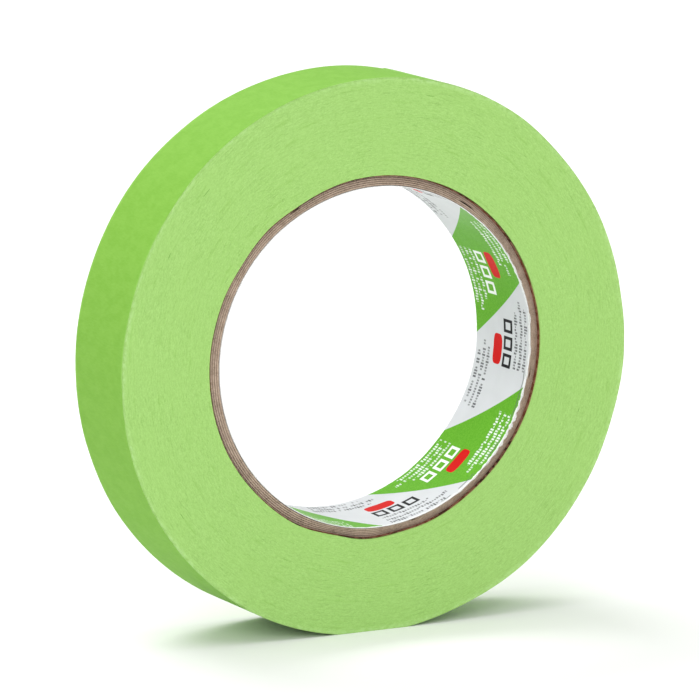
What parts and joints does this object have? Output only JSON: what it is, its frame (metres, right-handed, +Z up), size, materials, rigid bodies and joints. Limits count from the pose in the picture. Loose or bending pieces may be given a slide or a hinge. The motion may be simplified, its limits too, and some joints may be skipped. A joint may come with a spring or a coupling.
{
  "type": "masking tape roll",
  "caption": "Roll of narrow green crepe masking tape wound on a spiral paperboard core with a printed liner, with a free end that lifts off the roll.",
  "frame": {"origin": "middle of the core's bore, halfway between the two flat sides", "axes": "Y is the roll's axis, -Y the side that faces the viewer, +Z up; the roll stands on its rim"},
  "size_m": [0.1237, 0.024, 0.1234],
  "materials": {
    "tape": "matt crepe paper, light green, slightly smoother on the skin than on the slit sides",
    "board": "grey-brown recycled chipboard, cut edge",
    "kraft": "dark red-brown kraft paper, matt",
    "liner": null
  },
  "bodies": {
    "roll": {"core_liner": "liner", "core_board_ply_1": "board", "core_board_ply_2": "board", "core_board_ply_3": "board", "core_board_ply_4": "board", "core_board_ply_5": "board", "core_kraft_wrap": "kraft", "tape_winding": "tape", "tape_last_turn": "tape"},
    "end_1": {"tape_end_1": "tape"},
    "end_2": {"tape_end_2": "tape"},
    "end_3": {"tape_end_3": "tape"},
    "end_4": {"tape_end_4": "tape"},
    "end_5": {"tape_end_5": "tape"}
  },
  "joints": [
    {"name": "tape_end_peel", "type": "hinge", "parent": "roll", "child": "end_1", "pos_m": [0.04789, 0, 0.0393], "axis": [0, 1, 0], "range_deg": [0, 40]},
    {"name": "tape_end_bend_2", "type": "hinge", "parent": "end_1", "child": "end_2", "pos_m": [0.04235, 0, 0.04522], "axis": [0, 1, 0], "range_deg": [0, 26.01]},
    {"name": "tape_end_bend_3", "type": "hinge", "parent": "end_2", "child": "end_3", "pos_m": [0.03609, 0, 0.05036], "axis": [0, 1, 0], "range_deg": [0, 16.91]},
    {"name": "tape_end_bend_4", "type": "hinge", "parent": "end_3", "child": "end_4", "pos_m": [0.02921, 0, 0.05464], "axis": [0, 1, 0], "range_deg": [0, 10.99]},
    {"name": "tape_end_bend_5", "type": "hinge", "parent": "end_4", "child": "end_5", "pos_m": [0.02183, 0, 0.05799], "axis": [0, 1, 0], "range_deg": [0, 7.15]}
  ],
  "couplings": [
    {"joint": "tape_end_bend_2", "follows": "tape_end_peel", "ratio": 0.65},
    {"joint": "tape_end_bend_3", "follows": "tape_end_peel", "ratio": 0.4225},
    {"joint": "tape_end_bend_4", "follows": "tape_end_peel", "ratio": 0.2746},
    {"joint": "tape_end_bend_5", "follows": "tape_end_peel", "ratio": 0.1785}
  ]
}
